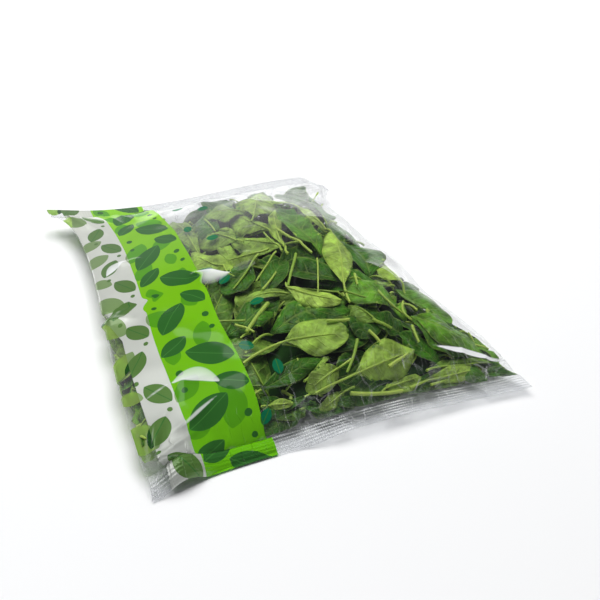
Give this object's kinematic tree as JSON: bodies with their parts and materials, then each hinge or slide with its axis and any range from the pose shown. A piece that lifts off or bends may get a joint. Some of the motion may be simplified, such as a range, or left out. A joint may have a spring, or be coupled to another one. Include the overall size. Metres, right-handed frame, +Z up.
{
  "type": "bag of baby spinach",
  "caption": "Clear pillow bag of fresh spinach leaves lying on its back, with a crimped seal across each end and a printed band along one side.",
  "frame": {"origin": "on the surface that the bag rests on, under the middle of its outline", "axes": "+X along the seals towards the clear side, +Y from the front seal to the back seal, +Z up"},
  "size_m": [0.268, 0.332, 0.0586],
  "materials": {
    "clear_film": "clear, glossy, creased",
    "printed_film": "glossy lime and silver print",
    "spinach_leaf": "soft satin with pale veins",
    "spinach_stem": "satin, pale green"
  },
  "bodies": {
    "root": {"spinach_bag": "clear_film"}
  },
  "joints": []
}
